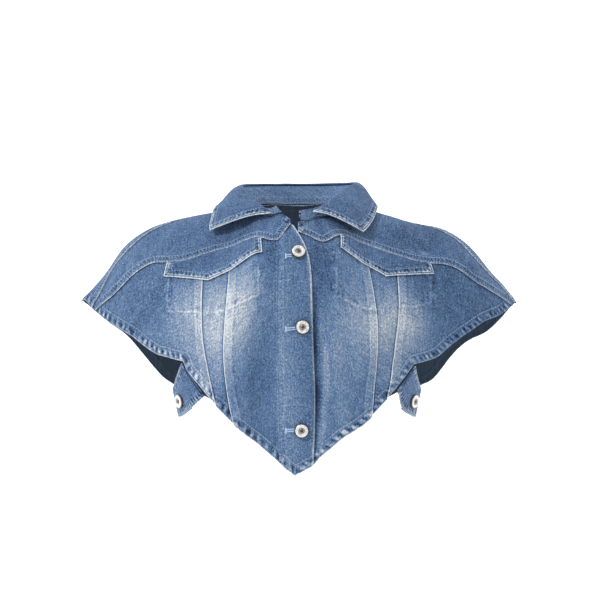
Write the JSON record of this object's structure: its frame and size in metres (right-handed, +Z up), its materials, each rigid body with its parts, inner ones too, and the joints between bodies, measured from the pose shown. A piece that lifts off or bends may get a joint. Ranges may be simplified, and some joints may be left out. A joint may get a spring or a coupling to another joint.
{
  "type": "cropped denim vest with pointed cap shoulders",
  "caption": "Worn, hollow cropped denim vest with a pointed collar, wing-like pointed cap shoulders, angled chest flaps, a buttoned placket, a pointed front hem and button tabs round the sides.",
  "frame": {"origin": "on the centre line at the base of the wearer's neck, level with the shoulder seams there, where the wearer's shoulders hold the vest up", "axes": "+X to the wearer's left (image right), +Y to the wearer's back, +Z up"},
  "size_m": [0.5075, 0.2104, 0.337],
  "materials": {
    "denim": "washed mid-blue cotton twill, faded on the chest and whitish along worn edges",
    "button_metal": "cast ring-top shank button with a dark rim and recess",
    "thread": "pale blue-grey twisted sewing thread"
  },
  "bodies": {
    "root": {"front_yoke_right": "denim", "front_yoke_left": "denim", "front_centre_right": "denim", "front_centre_left": "denim", "front_middle_right": "denim", "front_middle_left": "denim", "front_side_right": "denim", "front_side_left": "denim", "front_placket": "denim", "button_stand": "denim", "pocket_flap_right": "denim", "pocket_flap_left": "denim", "back_yoke": "denim", "back_centre": "denim", "back_side_right": "denim", "back_side_left": "denim", "collar_leaf": "denim", "collar_stand": "denim", "front_tab_right": "denim", "front_tab_left": "denim", "back_tab_right": "denim", "back_tab_left": "denim", "placket_button_1": "button_metal", "placket_button_2": "button_metal", "placket_button_3": "button_metal", "tab_button_right": "button_metal", "tab_button_left": "button_metal"}
  },
  "joints": []
}
